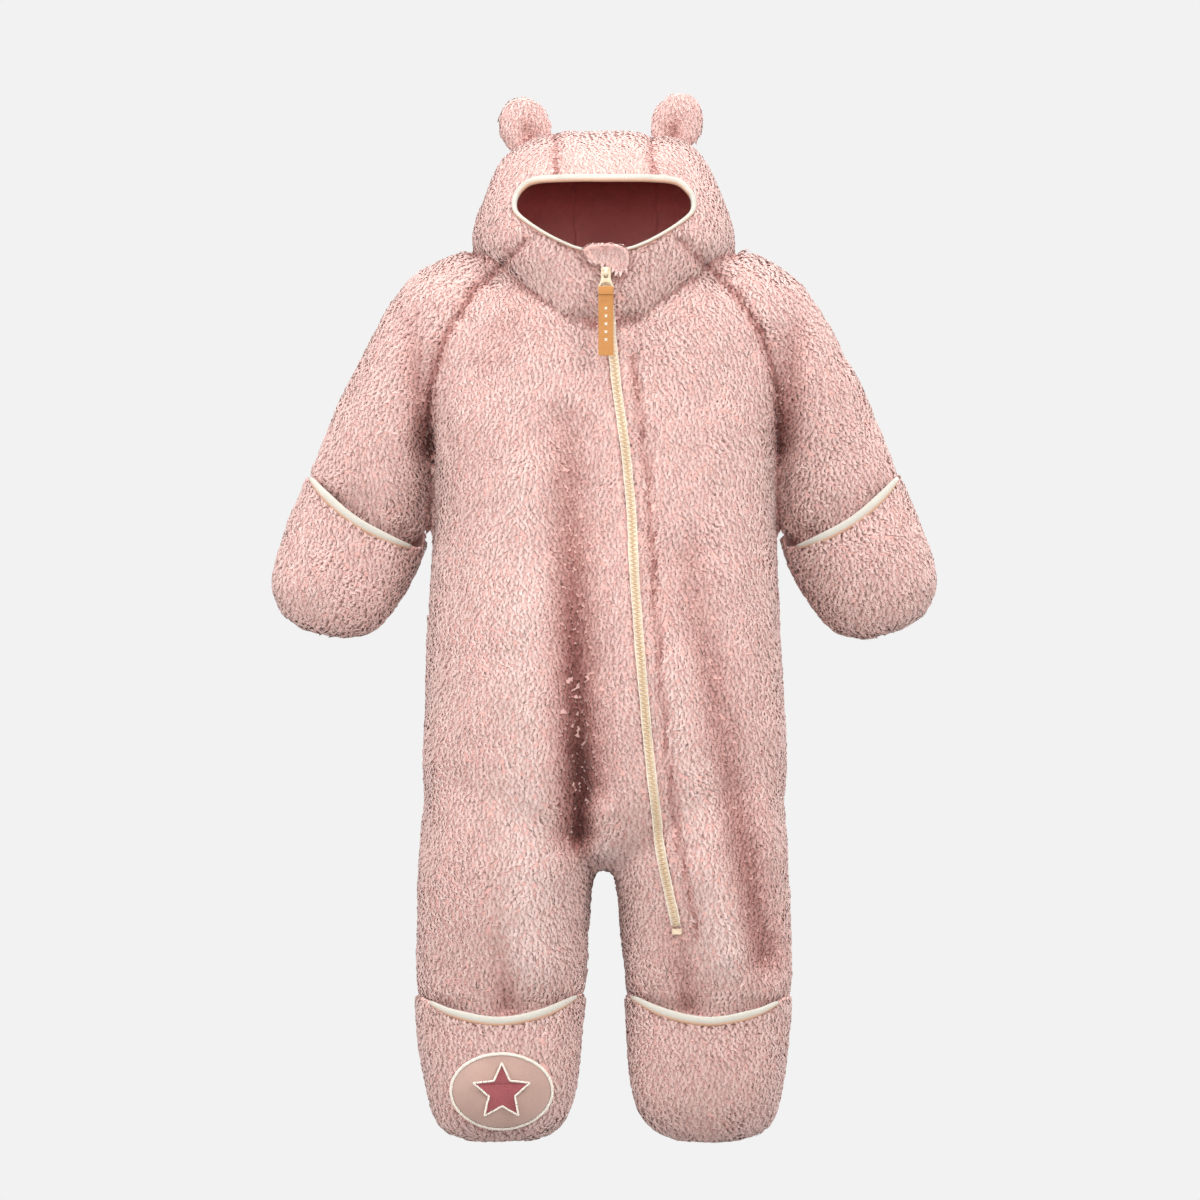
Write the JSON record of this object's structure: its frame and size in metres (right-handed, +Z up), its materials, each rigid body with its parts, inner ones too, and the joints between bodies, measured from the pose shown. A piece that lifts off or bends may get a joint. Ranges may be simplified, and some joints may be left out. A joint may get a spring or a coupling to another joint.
{
  "type": "bear onesie, filled out with no wearer",
  "caption": "Hooded teddy-fleece baby onesie with bear ears, fold-over mitts and feet, and a slanted front zip, hollow as if worn.",
  "frame": {"origin": "between the wearer's shoulders at the height of the neck seam, where the wearer carries the garment", "axes": "+Z up to the hood, -Y to the front with the zip, +X to the wearer's left"},
  "size_m": [0.453, 0.1734, 0.714],
  "materials": {
    "fleece": "dusty pink long-pile teddy fleece",
    "binding": "cream stretch binding",
    "lining": "maroon plain-woven cotton",
    "zip": "cream and tan coil zip",
    "zip_metal": "cream lacquer",
    "tape": "mustard woven tape",
    "patch": "mauve-beige satin",
    "motif": "maroon felt"
  },
  "bodies": {
    "garment": {"front_right": "fleece", "front_left": "fleece", "back_right": "fleece", "back_left": "fleece", "sleeve_right": "fleece", "sleeve_left": "fleece", "mitt_front_right": "fleece", "mitt_front_left": "fleece", "mitt_back_right": "fleece", "mitt_back_left": "fleece", "foot_front_right": "fleece", "foot_front_left": "fleece", "foot_back_right": "fleece", "foot_back_left": "fleece", "hood_right": "fleece", "hood_left": "fleece", "ear_right": "fleece", "ear_left": "fleece", "hood_centre": "fleece", "chin_guard": "fleece", "foot_binding_right": "binding", "foot_binding_left": "binding", "mitt_binding_right": "binding", "mitt_binding_left": "binding", "face_binding": "binding", "lining_right": "lining", "lining_centre": "lining", "lining_left": "lining", "zip_right": "zip", "zip_left": "zip", "zip_slider": "zip_metal", "patch_ground": "patch", "patch_motif": "motif"},
    "pull": {"zip_pull": "zip_metal", "pull_tape": "tape"}
  },
  "joints": [
    {"name": "pull_swing", "type": "hinge", "parent": "garment", "child": "pull", "pos_m": [0.0013, -0.0798, -0.0086], "axis": [-1, 0, 0], "range_deg": [0, 150]}
  ]
}
